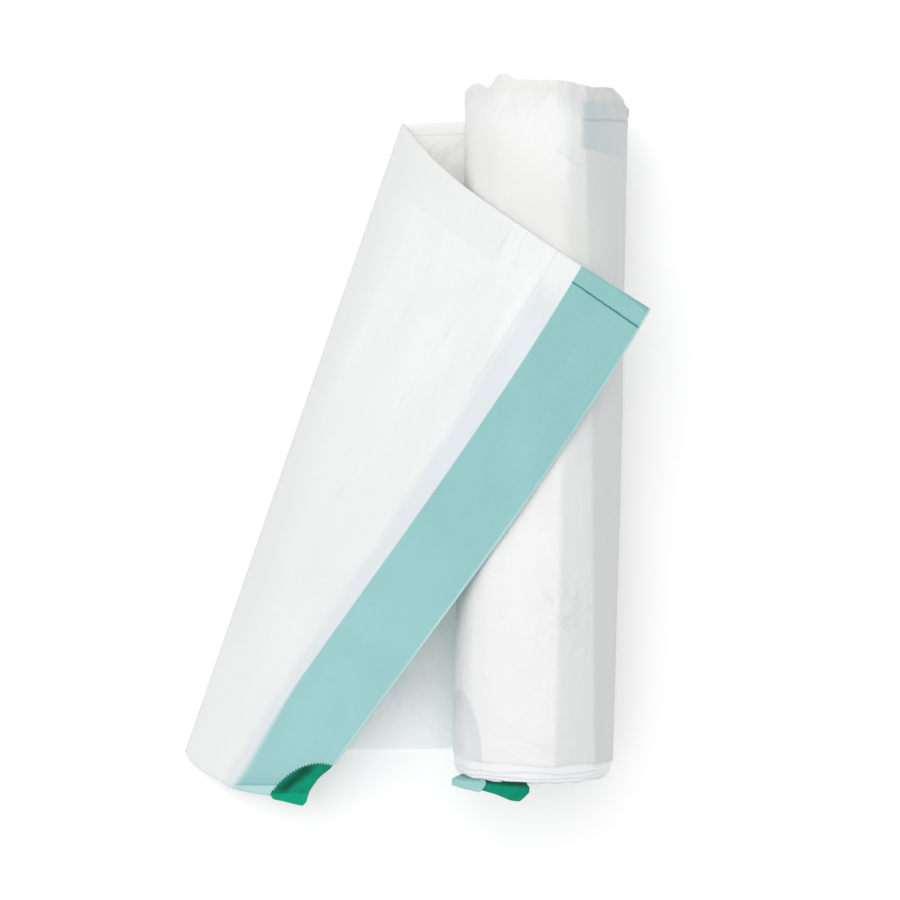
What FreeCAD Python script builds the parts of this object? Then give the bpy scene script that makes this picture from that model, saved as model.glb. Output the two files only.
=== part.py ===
import FreeCAD, Part
import math
import os

# A roll of draw tape bin bags that lies on its side. +Y runs along the roll, +Z is up, and the web
# comes out under the roll towards -X. The origin is on the floor, under the roll's axis and at the
# middle of the web's width. The side seam of the bags is at +Y and their centre fold is at -Y.

# the web: one bag folded lengthwise, with the air between its layers
web_width = 300.0
film = 1.4
air = 0.8

# the roll: it has gone flat where it rests, and it has no core. The outermost turn has shifted towards
# the seam, and the turns in it stand out at the foot: by telescope in all, over telescope_turns, and
# telescope_rate is the share of it that each turn leaves to the next
roll_height = 69.0
flat_run = 6.0
eye_radius = 5.0
wrap_shift = 3.0
telescope = 7.6
telescope_turns = 2
telescope_rate = 0.15

# the loose bag in plan: it runs out on the floor, turns back along a slanting crease and lies over
# the roll
leader_shift = -2.0
crease_near = 66.4
crease_slant = 97.6
seam_reach = 112.4
seam_drop = 91.6
seam_bow = 10.2
seam_bow_early = 0.5
mouth_slant = 151.3
mouth_drop = 230.2
mouth_bow = 2.8
mouth_bow_early = 1.0
fold_bow = 5.0
lay_gap = 0.3
exit_angle = 2.0
sag_start = 100.0
sag_run = 80.0
sag_depth = 15.0
section_step = 30.0
bow_pieces = 8

# the hem at the bag's mouth, the draw tape in it and the notch that lays the tape bare
skin = 0.35
hem_width = 36.0
tape_edge = 0.8
tape_clear = 0.1
notch_along_mouth = 24.0
notch_along_fold = 17.5
notch_teeth = 22
tooth_depth = 0.9

# the next bag's draw tape: it looks out at the foot of the roll from under one of the inner turns
next_tape_turn = 1
next_tape_width = 38.0
next_tape_middle = 40.0
next_tape_out = 8.6

# sizes that follow from those above
pitch = film + air
half_web = web_width / 2
bead_radius = film
left_radius = (roll_height - pitch) / 2
left_centre = roll_height - left_radius
lay_radius = left_radius + lay_gap + film / 2
mouth_length = math.hypot(mouth_slant, mouth_drop)
mouth_run = (-mouth_slant / mouth_length, -mouth_drop / mouth_length)


def vec(x, z, y=0.0):
    return FreeCAD.Vector(x, y, z)


def extrude_section(edges, y_from, y_to):
    face = Part.Face(Part.Wire(edges))
    face.translate(FreeCAD.Vector(0, y_from, 0))
    return face.extrude(FreeCAD.Vector(0, y_to - y_from, 0))


def prism(points):
    """A tall upright prism over a plan outline, given as (x, y) points."""
    corners = [FreeCAD.Vector(x, y, -roll_height) for x, y in points]
    face = Part.Face(Part.makePolygon(corners + corners[:1]))
    return face.extrude(FreeCAD.Vector(0, 0, 3 * roll_height))


# the wound roll

def half_turn(radius, centre_z, side, flat_start, y_from, y_to):
    """Half a turn of the web: a flat run, then an arc. side is 1 on the right and -1 on the left."""

    def at(x, z):
        return vec(side * x, centre_z + side * z)

    inner = radius - film
    run = flat_run / 2
    start = -run if flat_start else run
    edges = [
        Part.Arc(at(run, -radius), at(run + radius, 0), at(run, radius)).toShape(),
        Part.makeLine(at(run, radius), at(run, inner)),
        Part.Arc(at(run, inner), at(run + inner, 0), at(run, -inner)).toShape(),
    ]
    if flat_start:
        edges.append(Part.makeLine(at(run, -inner), at(start, -inner)))
        edges.append(Part.makeLine(at(start, -inner), at(start, -radius)))
        edges.append(Part.makeLine(at(start, -radius), at(run, -radius)))
    else:
        edges.append(Part.makeLine(at(run, -inner), at(run, -radius)))
    return extrude_section(edges, y_from, y_to)


def turn_shift(turn):
    """How far a turn has slid along the roll: the inner turns stand out at the foot."""
    return wrap_shift - telescope * (1 - telescope_rate ** min(turn, telescope_turns))


def wound_roll():
    halves = []
    radius = roll_height / 2
    bottom = 0.0
    count = 0
    while radius > eye_radius + film:
        side = 1 if count % 2 == 0 else -1
        centre_z = bottom + radius if side == 1 else bottom - radius
        shift = turn_shift(count // 2)
        halves.append(half_turn(radius, centre_z, side, count > 0, shift - half_web, shift + half_web))
        bottom = centre_z + side * radius
        radius -= pitch / 2
        count += 1
    return halves[0].fuse(halves[1:]).removeSplitter()


def next_tape():
    """The next bag's tape, in the gap under its turn, on the roll's left side."""
    outer = left_radius - next_tape_turn * pitch - film - tape_clear
    inner = outer - (air - 2 * tape_clear)
    half_angle = math.degrees(next_tape_width / 2 / outer)
    angles = [90 + next_tape_middle + turn * half_angle for turn in (-1, 0, 1)]

    def at(radius, angle):
        turn = math.radians(angle)
        return vec(radius * math.cos(turn) - flat_run / 2, left_centre + radius * math.sin(turn))

    far = [at(outer, angle) for angle in angles]
    near = [at(inner, angle) for angle in reversed(angles)]
    edges = [
        Part.Arc(*far).toShape(),
        Part.makeLine(far[2], near[0]),
        Part.Arc(*near).toShape(),
        Part.makeLine(near[2], far[0]),
    ]
    foot = turn_shift(next_tape_turn) - half_web
    return extrude_section(edges, foot - next_tape_out, foot + web_width)


# the loose bag in plan

def crease_x(y):
    """Where the crease runs at a station along the roll."""
    return -crease_near - crease_slant * (leader_shift + half_web - y) / web_width


def plan_corners():
    """Crease at the seam, mouth at the seam, mouth at the fold, crease at the fold."""
    seam_y = leader_shift + half_web
    fold_y = leader_shift - half_web
    crease_seam = (crease_x(seam_y), seam_y)
    crease_fold = (crease_x(fold_y), fold_y)
    mouth_seam = (crease_seam[0] + seam_reach, crease_seam[1] - seam_drop)
    mouth_fold = (mouth_seam[0] - mouth_slant, mouth_seam[1] - mouth_drop)
    return crease_seam, mouth_seam, mouth_fold, crease_fold


def bow_share(share, early):
    """Shape of a bow, 0 at both ends and 1 at its highest, for a share of the edge's length. early runs
    from 0, highest at half the length, to 1, highest at a third of it.
    """
    even = 4 * share * (1 - share)
    drawn = 6.75 * share * (1 - share) ** 2
    return even + early * (drawn - even)


def bowed_edge(start, end, bow, early=0.0):
    """Points of a bowed edge, without the last one. A positive bow bends it to the right."""
    dx, dy = end[0] - start[0], end[1] - start[1]
    length = math.hypot(dx, dy)
    points = []
    for step in range(bow_pieces):
        share = step / bow_pieces
        lift = bow * bow_share(share, early) / length
        points.append((start[0] + dx * share + dy * lift, start[1] + dy * share - dx * lift))
    return points


def mouth_point(along, inward):
    """A point of the hem: along the mouth from its seam end, and inward from its bowed edge."""
    mouth_seam = plan_corners()[1]
    inward -= mouth_bow * bow_share(min(max(along / mouth_length, 0.0), 1.0), mouth_bow_early)
    ux, uy = mouth_run
    return (mouth_seam[0] + ux * along + uy * inward, mouth_seam[1] + uy * along - ux * inward)


def flap_outline():
    crease_seam, mouth_seam, mouth_fold, crease_fold = plan_corners()
    seam_edge = bowed_edge(crease_seam, mouth_seam, seam_bow, seam_bow_early)
    mouth_edge = bowed_edge(mouth_seam, mouth_fold, -mouth_bow, mouth_bow_early)
    fold_edge = bowed_edge(mouth_fold, crease_fold, -fold_bow)
    return seam_edge + mouth_edge + fold_edge + [crease_fold]


def hem_strip(edge_inset, seam_inset):
    """A prism over the hem's inside: drawn in from the mouth's edge, the hem's inner edge and the seam."""
    reach = mouth_length + 2 * hem_width
    stations = [-hem_width + reach * step / bow_pieces for step in range(bow_pieces + 1)]
    outer = [mouth_point(along, edge_inset) for along in stations]
    inner = [mouth_point(along, hem_width - edge_inset) for along in reversed(stations)]
    ux, uy = mouth_run
    moved = [(x + ux * seam_inset, y + uy * seam_inset) for x, y in flap_outline()]
    return prism(outer + inner).common(prism(moved))


def notch_outline():
    """A quarter of an oval about the corner at the fold, with a pinked edge."""
    mouth_fold, crease_fold = plan_corners()[2:4]
    up = (-mouth_run[0], -mouth_run[1])
    back_x, back_y = crease_fold[0] - mouth_fold[0], crease_fold[1] - mouth_fold[1]
    back_length = math.hypot(back_x, back_y)
    back = (back_x / back_length, back_y / back_length)
    points = []
    steps = 2 * notch_teeth
    for step in range(-1, steps + 2):
        turn = math.pi / 2 * step / steps
        reach = 1 - (tooth_depth / notch_along_fold if step % 2 else 0)
        a = notch_along_mouth * reach * math.cos(turn)
        b = notch_along_fold * reach * math.sin(turn)
        points.append((mouth_fold[0] + up[0] * a + back[0] * b, mouth_fold[1] + up[1] * a + back[1] * b))
    clear_of_corner = hem_width
    for a, b in ((-clear_of_corner, notch_along_fold), (-clear_of_corner, -clear_of_corner),
                 (notch_along_mouth, -clear_of_corner)):
        points.append((mouth_fold[0] + up[0] * a + back[0] * b, mouth_fold[1] + up[1] * a + back[1] * b))
    return points


# the loose bag as it drapes

def drape_section(y, low, high):
    """Section of the draped sheet across the roll, between two offsets from its middle surface."""
    past_roll = min(max((-sag_start - y) / sag_run, 0.0), 1.0)
    centre_x = -flat_run / 2
    centre_z = left_centre - sag_depth * past_roll
    dx = centre_x - crease_x(y)
    dz = centre_z - bead_radius
    slope = math.atan2(dz, dx) + math.asin(lay_radius / math.hypot(dx, dz))
    start_x = crease_x(y) - 2 * film * math.cos(slope)
    start_z = bead_radius - 2 * film * math.sin(slope)
    leave = math.radians(exit_angle)
    reach = roll_height

    def chain(offset):
        radius = lay_radius + offset
        middle = slope / 2
        return [
            vec(start_x - offset * math.sin(slope), start_z + offset * math.cos(slope), y),
            vec(centre_x - radius * math.sin(slope), centre_z + radius * math.cos(slope), y),
            vec(centre_x - radius * math.sin(middle), centre_z + radius * math.cos(middle), y),
            vec(centre_x, centre_z + radius, y),
            vec(centre_x + flat_run, centre_z + radius, y),
            vec(centre_x + flat_run + reach, centre_z + radius - reach * math.tan(leave), y),
        ]

    under = chain(low)
    over = chain(high)
    edges = [
        Part.makeLine(under[0], under[1]),
        Part.Arc(under[1], under[2], under[3]).toShape(),
        Part.makeLine(under[3], under[4]),
        Part.makeLine(under[4], under[5]),
        Part.makeLine(under[5], over[5]),
        Part.makeLine(over[5], over[4]),
        Part.makeLine(over[4], over[3]),
        Part.Arc(over[3], over[2], over[1]).toShape(),
        Part.makeLine(over[1], over[0]),
        Part.makeLine(over[0], under[0]),
    ]
    return Part.Wire(edges)


def drape(low, high):
    """The draped sheet, wider than the bag on every side, before it is cut to its outline."""
    top = leader_shift + half_web + 2 * film
    bottom = plan_corners()[2][1] - 2 * film
    count = math.ceil((top - bottom) / section_step)
    stations = [top + (bottom - top) * step / count for step in range(count + 1)]
    return Part.makeLoft([drape_section(y, low, high) for y in stations], True, True)


def leader():
    """The bag's run on the floor, from the crease to the place where the roll stands on it."""
    crease_seam, _, _, crease_fold = plan_corners()
    nip = flat_run / 2
    outline = [crease_seam, (nip, crease_seam[1]), (nip, crease_fold[1]), crease_fold]
    corners = [FreeCAD.Vector(x, y, 0) for x, y in outline]
    face = Part.Face(Part.makePolygon(corners + corners[:1]))
    return face.extrude(FreeCAD.Vector(0, 0, film))


def crease_bead():
    """The rounded turn of the film along the crease."""
    crease_seam, _, _, crease_fold = plan_corners()
    start = FreeCAD.Vector(crease_fold[0], crease_fold[1], bead_radius)
    end = FreeCAD.Vector(crease_seam[0], crease_seam[1], bead_radius)
    return Part.makeCylinder(bead_radius, (end - start).Length, start, end - start)


def loose_bag():
    flap = drape(-film / 2, film / 2).common(prism(flap_outline()))
    pocket = drape(-film / 2 + skin, film / 2 - skin)
    flap = flap.cut(pocket.common(hem_strip(tape_edge - tape_clear, tape_edge - tape_clear)))
    flap = flap.cut(prism(notch_outline()))
    return flap.fuse([leader(), crease_bead()]).removeSplitter()


def draw_tape():
    half = film / 2 - skin - tape_clear
    return drape(-half, half).common(prism(flap_outline()).common(hem_strip(tape_edge, tape_edge)))


def single(shape):
    return shape.Solids[0] if len(shape.Solids) == 1 else shape


os.makedirs("parts", exist_ok=True)
pieces = {
    "wound_roll": wound_roll(),
    "loose_bag": loose_bag(),
    "draw_tape": draw_tape(),
    "next_tape": next_tape(),
}
for name, shape in pieces.items():
    shape = single(shape)
    shape.exportStep(f"parts/{name}.step")
    box = shape.BoundBox
    print(name, len(shape.Solids), "solids, valid", shape.isValid(), f"volume {shape.Volume:.0f} mm3")
    print("   x %.2f %.2f y %.2f %.2f z %.2f %.2f" % (box.XMin, box.XMax, box.YMin, box.YMax, box.ZMin, box.ZMax))
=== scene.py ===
import bpy
import math
import numpy as np
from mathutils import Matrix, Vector, noise
from mathutils.geometry import delaunay_2d_cdt


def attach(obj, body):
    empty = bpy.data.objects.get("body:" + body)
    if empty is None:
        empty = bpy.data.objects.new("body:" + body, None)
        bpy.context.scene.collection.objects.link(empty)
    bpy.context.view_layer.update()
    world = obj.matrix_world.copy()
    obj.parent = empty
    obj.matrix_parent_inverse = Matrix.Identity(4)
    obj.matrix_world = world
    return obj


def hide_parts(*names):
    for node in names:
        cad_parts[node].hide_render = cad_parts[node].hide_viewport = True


MM = 0.001

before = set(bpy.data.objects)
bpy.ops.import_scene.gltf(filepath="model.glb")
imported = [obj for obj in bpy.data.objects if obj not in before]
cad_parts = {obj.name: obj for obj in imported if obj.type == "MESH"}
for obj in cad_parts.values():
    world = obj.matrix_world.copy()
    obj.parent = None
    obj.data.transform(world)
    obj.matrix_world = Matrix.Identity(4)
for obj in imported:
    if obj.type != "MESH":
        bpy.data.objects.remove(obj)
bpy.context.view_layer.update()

# Sizes in millimetres, as in the part's source
WEB = 300.0
FILM = 1.4
AIR = 0.8
ROLL_HEIGHT = 69.0
FLAT_RUN = 6.0
LEADER_SHIFT = -2.0
CREASE_NEAR = 66.4
CREASE_SLANT = 97.6
SEAM_REACH, SEAM_DROP, SEAM_BOW = 112.4, 91.6, 10.2
MOUTH_SLANT, MOUTH_DROP, MOUTH_BOW = 151.3, 230.2, 2.8
FOLD_BOW = 5.0
LAY_GAP = 0.3
EXIT_ANGLE = 2.0
SAG_START, SAG_RUN, SAG_DEPTH = 100.0, 80.0, 15.0
HEM = 36.0
TAPE_ROOM = 0.8
NOTCH_ALONG_MOUTH, NOTCH_ALONG_FOLD = 24.0, 17.5
NOTCH_TEETH = 22
TOOTH = 0.9
NEXT_TAPE_MIDDLE = 40.0
TAPE_WIDTH = 33.0
HEM_LEAN = -33.4            # degrees, from the roll's axis

# The foot of the loose bag as it looks, from the crease to the notch
FLAP_FOOT = ((-164.6, -153.6), (-162.7, -156.6), (-160.2, -158.9), (-157.4, -160.6), (-154.9, -162.0),
             (-149.7, -164.4), (-147.1, -165.7), (-144.6, -167.1), (-142.2, -168.2), (-137.3, -169.1),
             (-132.5, -169.7), (-122.8, -170.4))
FLAP_FOOT_END = FLAP_FOOT[0][1]
TUCK = 0.4                  # how far the flap's film runs past the crease, into its rounded turn

# The run on the floor lies a little askew: where its edges meet the roll
LEADER_TOP, LEADER_FOOT = 151.5, -148.0

BEAD = FILM
LEFT_RADIUS = (ROLL_HEIGHT - FILM - AIR) / 2
LEFT_CENTRE = ROLL_HEIGHT - LEFT_RADIUS
LAY_RADIUS = LEFT_RADIUS + LAY_GAP + FILM / 2
MOUTH_LENGTH = math.hypot(MOUTH_SLANT, MOUTH_DROP)
FLAP_THICK = 0.6
FLAP_RISE = 0.15            # the thinner film lies this much above the middle of the solid's film

# The turns as they look: more of them and thinner than in the source
TURN_DEPTH = ((0.0, 0.0), (3.75, 2.0), (4.75, 3.9), (5.75, 5.5), (25.0, 27.5))
TURN_FILM = 0.4
TURNS = 25

# Lengthwise creases of the outer turn in degrees from the top. The second one slants, per millimetre of y
FLATTENING = 0.3
LEFT_CREASE, FIRST_STEP, SECOND_STEP, RIGHT_CREASE = -34.0, 11.0, 33.0, 78.0
STEP_SLANT = 0.075


# Small helpers

def smooth(low, high, x):
    """0 below low, 1 above high and smooth between. With low above high it runs the other way."""
    t = np.clip((np.asarray(x, float) - low) / (high - low), 0, 1)
    return t * t * (3 - 2 * t)


def lump(x, y, scale_x, scale_y, seed, detail=2):
    """Smooth noise over a plane, about -1 to 1, for arrays of points."""
    out = np.empty(len(x))
    for i in range(len(x)):
        out[i] = noise.fractal(Vector((x[i] / scale_x, y[i] / scale_y, seed)), 0.6, 2.1, detail)
    return out


def ridged(x, y, scale_x, scale_y, seed):
    """Sharp low ridges, 0 to 1, as in film that was crushed."""
    out = np.empty(len(x))
    for i in range(len(x)):
        value = noise.noise(Vector((x[i] / scale_x, y[i] / scale_y, seed)))
        out[i] = max(0.0, 1 - abs(value) * 5)
    return out


def mesh_object(name, verts, faces, material, uvs=None, thickness=0.0):
    """A piece from points in millimetres. uvs gives one pair for each point."""
    mesh = bpy.data.meshes.new(name)
    mesh.from_pydata([(float(v[0]) * MM, float(v[1]) * MM, float(v[2]) * MM) for v in verts], [], faces)
    if uvs is not None:
        layer = mesh.uv_layers.new(name="sheet")
        loops = np.empty(len(mesh.loops), dtype=np.int32)
        mesh.loops.foreach_get("vertex_index", loops)
        layer.data.foreach_set("uv", np.asarray(uvs, float)[loops].ravel())
    mesh.materials.append(material)
    mesh.polygons.foreach_set("use_smooth", [True] * len(mesh.polygons))
    mesh.update()
    obj = bpy.data.objects.new(name, mesh)
    bpy.context.scene.collection.objects.link(obj)
    if thickness:
        shell = obj.modifiers.new("thickness", "SOLIDIFY")
        shell.thickness = thickness * MM
        shell.offset = 0.0
        even = obj.modifiers.new("even", "WEIGHTED_NORMAL")
        even.mode = "FACE_AREA"
        even.weight = 90
    return obj


def grid_faces(rows, columns):
    """Quads over a grid of points stored row by row."""
    return [
        (r * columns + c, r * columns + c + 1, (r + 1) * columns + c + 1, (r + 1) * columns + c)
        for r in range(rows - 1) for c in range(columns - 1)
    ]


# The loose bag in plan and as it drapes

def crease_x(y):
    """Place of the slanting crease at y."""
    return -CREASE_NEAR - CREASE_SLANT * (LEADER_SHIFT + WEB / 2 - y) / WEB


CREASE_SEAM = (crease_x(LEADER_SHIFT + WEB / 2), LEADER_SHIFT + WEB / 2)
CREASE_FOLD = (crease_x(LEADER_SHIFT - WEB / 2), LEADER_SHIFT - WEB / 2)
MOUTH_SEAM = (CREASE_SEAM[0] + SEAM_REACH, CREASE_SEAM[1] - SEAM_DROP)
MOUTH_FOLD = (MOUTH_SEAM[0] - MOUTH_SLANT, MOUTH_SEAM[1] - MOUTH_DROP)
MOUTH_UX, MOUTH_UY = -MOUTH_SLANT / MOUTH_LENGTH, -MOUTH_DROP / MOUTH_LENGTH


def bow_share(share, early):
    """Shape of a bow, 0 at both ends and about 1 at its highest. early draws it towards the start."""
    even = 4 * share * (1 - share)
    return even + early * (6.75 * share * (1 - share) ** 2 - even)


def bowed_edge(start, end, bow, pieces, early=0.0):
    """Points of a bowed edge, without the last one. A positive bow bends it to the right."""
    dx, dy = end[0] - start[0], end[1] - start[1]
    length = math.hypot(dx, dy)
    points = []
    for step in range(pieces):
        share = step / pieces
        lift = bow * bow_share(share, early) / length
        points.append((start[0] + dx * share + dy * lift, start[1] + dy * share - dx * lift))
    return points


def hem_coordinates(x, y):
    """Distance along the mouth from the seam, and inward from the mouth's bowed edge."""
    dx, dy = x - MOUTH_SEAM[0], y - MOUTH_SEAM[1]
    along = dx * MOUTH_UX + dy * MOUTH_UY
    bow = MOUTH_BOW * bow_share(np.clip(along / MOUTH_LENGTH, 0, 1), 1.0)
    return along, dx * MOUTH_UY - dy * MOUTH_UX + bow


def seam_distance(x, y):
    """Distance from the straight line between the ends of the seam edge."""
    dx, dy = MOUTH_SEAM[0] - CREASE_SEAM[0], MOUTH_SEAM[1] - CREASE_SEAM[1]
    return ((x - CREASE_SEAM[0]) * dy - (y - CREASE_SEAM[1]) * dx) / math.hypot(dx, dy)


def drape_centre(y):
    """Place of the round that the sheet lies on, which sags past the roll's foot."""
    return -FLAT_RUN / 2, LEFT_CENTRE - SAG_DEPTH * np.clip((-SAG_START - y) / SAG_RUN, 0, 1)


def drape_slope(y):
    """Angle at which the sheet leaves the crease."""
    centre_x, centre_z = drape_centre(y)
    dx, dz = centre_x - crease_x(y), centre_z - BEAD
    return np.arctan2(dz, dx) + np.arcsin(LAY_RADIUS / np.hypot(dx, dz))


def drape_height(x, y, offset=0.0):
    """Height of the draped sheet over points in plan."""
    x, y = np.asarray(x, float), np.asarray(y, float)
    centre_x, centre_z = drape_centre(y)
    slope = drape_slope(y)
    radius = LAY_RADIUS + offset
    tangent_x = centre_x - radius * np.sin(slope)
    line = BEAD + (x - crease_x(y)) * np.tan(slope) + offset / np.cos(slope)
    arc = centre_z + np.sqrt(np.maximum(radius ** 2 - np.minimum(x - centre_x, 0) ** 2, 0))
    past = np.maximum(x - centre_x - FLAT_RUN, 0)
    return np.where(x < tangent_x, line, arc - past * math.tan(math.radians(EXIT_ANGLE)))


def notch_line():
    """The pinked quarter oval from the mouth's edge round to the fold."""
    back_x, back_y = CREASE_FOLD[0] - MOUTH_FOLD[0], CREASE_FOLD[1] - MOUTH_FOLD[1]
    back_length = math.hypot(back_x, back_y)
    points = []
    for step in range(2 * NOTCH_TEETH + 1):
        turn = math.pi / 2 * step / (2 * NOTCH_TEETH)
        reach = 1 - (TOOTH / NOTCH_ALONG_FOLD if step % 2 else 0)
        up = NOTCH_ALONG_MOUTH * reach * math.cos(turn)
        back = NOTCH_ALONG_FOLD * reach * math.sin(turn) / back_length
        points.append((MOUTH_FOLD[0] - MOUTH_UX * up + back_x * back,
                       MOUTH_FOLD[1] - MOUTH_UY * up + back_y * back))
    return points


def flap_foot(inset=0.0):
    """Points of the foot from the notch to the crease, drawn in by an inset."""
    stations = np.linspace(FLAP_FOOT[-1][0], FLAP_FOOT[0][0], 30)
    return [(x, y + inset) for x, y in zip(stations, np.interp(stations, *zip(*FLAP_FOOT)))]


def flap_outline():
    """Seam edge, mouth, notch, foot and the edge that is tucked into the crease."""
    seam_edge = bowed_edge(CREASE_SEAM, MOUTH_SEAM, SEAM_BOW, 40, 0.5)
    notch = notch_line()
    mouth = [p for p in bowed_edge(MOUTH_SEAM, MOUTH_FOLD, -MOUTH_BOW, 80, 1.0)
             if hem_coordinates(*p)[0] < MOUTH_LENGTH - NOTCH_ALONG_MOUTH - 1.0]
    tucked = [(crease_x(y) - TUCK, y) for y in np.linspace(FLAP_FOOT_END, CREASE_SEAM[1], 150)]
    return seam_edge + mouth + notch + flap_foot() + tucked


def fill_plan(outline, step, slant):
    """Triangles inside a plan outline, on a grid turned by an angle in degrees."""
    ring = np.array(outline)
    count = len(ring)
    turn = math.radians(slant)
    c, s = math.cos(turn), math.sin(turn)
    local = ring @ np.array([[c, -s], [s, c]])
    lo, hi = local.min(0), local.max(0)
    gx, gy = np.meshgrid(np.arange(lo[0], hi[0], step), np.arange(lo[1], hi[1], step))
    points = np.column_stack([gx.ravel(), gy.ravel()]) @ np.array([[c, s], [-s, c]])
    inside = np.zeros(len(points), bool)
    near = np.full(len(points), 1e9)
    for i in range(count):
        a, b = ring[i], ring[(i + 1) % count]
        crosses = (a[1] > points[:, 1]) != (b[1] > points[:, 1])
        with np.errstate(divide="ignore", invalid="ignore"):
            at = (b[0] - a[0]) * (points[:, 1] - a[1]) / (b[1] - a[1]) + a[0]
        inside ^= crosses & (points[:, 0] < at)
        edge = b - a
        share = np.clip(((points - a) @ edge) / max(edge @ edge, 1e-9), 0, 1)
        near = np.minimum(near, np.hypot(*(points - a - share[:, None] * edge).T))
    points = points[inside & (near > 0.45 * step)]
    verts = [Vector(p) for p in ring] + [Vector(p) for p in points]
    edges = [(i, (i + 1) % count) for i in range(count)]
    done = delaunay_2d_cdt(verts, edges, [list(range(count))], 1, 1e-5)
    flat = np.array([(v.x, v.y) for v in done[0]])
    return flat, [tuple(f) for f in done[2]]


# Materials

def is_socket(value):
    return isinstance(value, bpy.types.NodeSocket)


class Shader:
    """A few short calls to build a node tree."""

    def __init__(self, name, roughness=0.42, coat=0.12, coat_roughness=0.35, specular=0.5):
        self.material = bpy.data.materials.new(name)
        self.material.use_nodes = True
        self.nodes = self.material.node_tree.nodes
        self.links = self.material.node_tree.links
        self.surface = self.nodes["Principled BSDF"]
        self.surface.inputs["Roughness"].default_value = roughness
        self.surface.inputs["Specular IOR Level"].default_value = specular
        self.surface.inputs["Coat Weight"].default_value = coat
        self.surface.inputs["Coat Roughness"].default_value = coat_roughness
        self.place = self.nodes.new("ShaderNodeTexCoord").outputs["Object"]

    def put(self, socket, value):
        if is_socket(value):
            self.links.new(value, socket)
        else:
            socket.default_value = value

    def split(self, source):
        """The first two coordinates of a vector."""
        node = self.nodes.new("ShaderNodeSeparateXYZ")
        self.links.new(source, node.inputs[0])
        return node.outputs[0], node.outputs[1]

    def uv(self):
        """The two coordinates that the mesh gives each point."""
        node = self.nodes.new("ShaderNodeUVMap")
        node.uv_map = "sheet"
        return self.split(node.outputs[0])

    def plan(self):
        """x and y of the place in millimetres."""
        x, y = self.split(self.place)
        return self.times(x, 1 / MM), self.times(y, 1 / MM)

    def math(self, kind, a, b=0.0):
        node = self.nodes.new("ShaderNodeMath")
        node.operation = kind
        self.put(node.inputs[0], a)
        self.put(node.inputs[1], b)
        return node.outputs[0]

    def plus(self, a, b):
        return self.math("ADD", a, b)

    def minus(self, a, b):
        return self.math("SUBTRACT", a, b)

    def times(self, a, b):
        return self.math("MULTIPLY", a, b)

    def step(self, value, low, high, start=0.0, end=1.0):
        """Runs smoothly from start to end as value goes from low to high."""
        node = self.nodes.new("ShaderNodeMapRange")
        node.interpolation_type = "SMOOTHSTEP"
        entries = {"Value": value, "From Min": low, "From Max": high, "To Min": start, "To Max": end}
        for name, entry in entries.items():
            self.put(node.inputs[name], entry)
        return node.outputs["Result"]

    def past(self, value, line, soft, start=0.0, end=1.0):
        """Runs from start to end across a line. The line's place and its softness may vary."""
        return self.step(self.minus(value, line), self.times(soft, -1.0), soft, start, end)

    def band(self, value, low, high, soft):
        """1 between low and high, 0 outside."""
        rise = self.step(value, low - soft, low + soft)
        return self.times(rise, self.step(value, high - soft, high + soft, 1.0, 0.0))

    def oval(self, u, v, middle_u, middle_v, reach_u, reach_v):
        """0 in the middle of an oval, 1 on its rim and more outside."""
        across = self.times(self.minus(u, middle_u), 1 / reach_u)
        along = self.times(self.minus(v, middle_v), 1 / reach_v)
        return self.plus(self.times(across, across), self.times(along, along))

    def mapped(self, source, scale, turn=0.0):
        """Turns the pattern about Z, then stretches it along its own axes: 0.1 makes it ten times as long."""
        node = self.nodes.new("ShaderNodeMapping")
        node.vector_type = "TEXTURE"
        self.links.new(source, node.inputs["Vector"])
        node.inputs["Scale"].default_value = [1 / entry for entry in scale]
        node.inputs["Rotation"].default_value = (0, 0, turn)
        return node.outputs[0]

    def noise(self, source, scale, detail=3.0, rough=0.55, distortion=0.0):
        node = self.nodes.new("ShaderNodeTexNoise")
        self.links.new(source, node.inputs["Vector"])
        node.inputs["Scale"].default_value = scale
        node.inputs["Detail"].default_value = detail
        node.inputs["Roughness"].default_value = rough
        node.inputs["Distortion"].default_value = distortion
        return node.outputs["Fac"]

    def wander(self, scale, detail, size):
        """Noise about 0, which moves a line to and fro."""
        return self.times(self.minus(self.noise(self.place, scale, detail), 0.5), size)

    def crest(self, wave, width):
        """1 along the lines on which a noise crosses its middle value."""
        return self.step(self.math("ABSOLUTE", self.minus(wave, 0.5)), 0.0, width, 1.0, 0.0)

    def mix(self, share, a, b):
        node = self.nodes.new("ShaderNodeMix")
        node.data_type = "RGBA"
        self.put(node.inputs[0], share)
        self.put(node.inputs[6], a if is_socket(a) else (*a, 1))
        self.put(node.inputs[7], b if is_socket(b) else (*b, 1))
        return node.outputs[2]

    def tint(self, colour, tone, share, strength):
        """The colour with a tone laid over it where share is 1."""
        return self.mix(self.times(share, strength), colour, tone)

    def bump(self, height, strength, distance_mm, before=None):
        node = self.nodes.new("ShaderNodeBump")
        self.put(node.inputs["Strength"], strength)
        node.inputs["Distance"].default_value = distance_mm * MM
        self.links.new(height, node.inputs["Height"])
        if before is not None:
            self.links.new(before, node.inputs["Normal"])
        return node.outputs[0]

    def finish(self, colour, normal):
        self.links.new(colour, self.surface.inputs["Base Color"])
        self.links.new(normal, self.surface.inputs["Normal"])
        return self.material


def srgb(red, green, blue):
    """A colour given as the 0 to 255 values that it should render at."""
    out = []
    for value in (red, green, blue):
        v = value / 255
        out.append(v / 12.92 if v <= 0.04045 else ((v + 0.055) / 1.055) ** 2.4)
    return tuple(out)


HEM_TURN = math.radians(HEM_LEAN)
WHITE_FILM = srgb(245, 247, 246)
DRAWN_FILM = srgb(233, 235, 234)
SHADE_FILM = srgb(229, 231, 230)
HEM_FILM = srgb(223, 229, 235)
TAPED_TOP = srgb(142, 198, 198)
TAPED_FOOT = srgb(157, 208, 209)
WELD_FILM = srgb(34, 132, 124)

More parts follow.
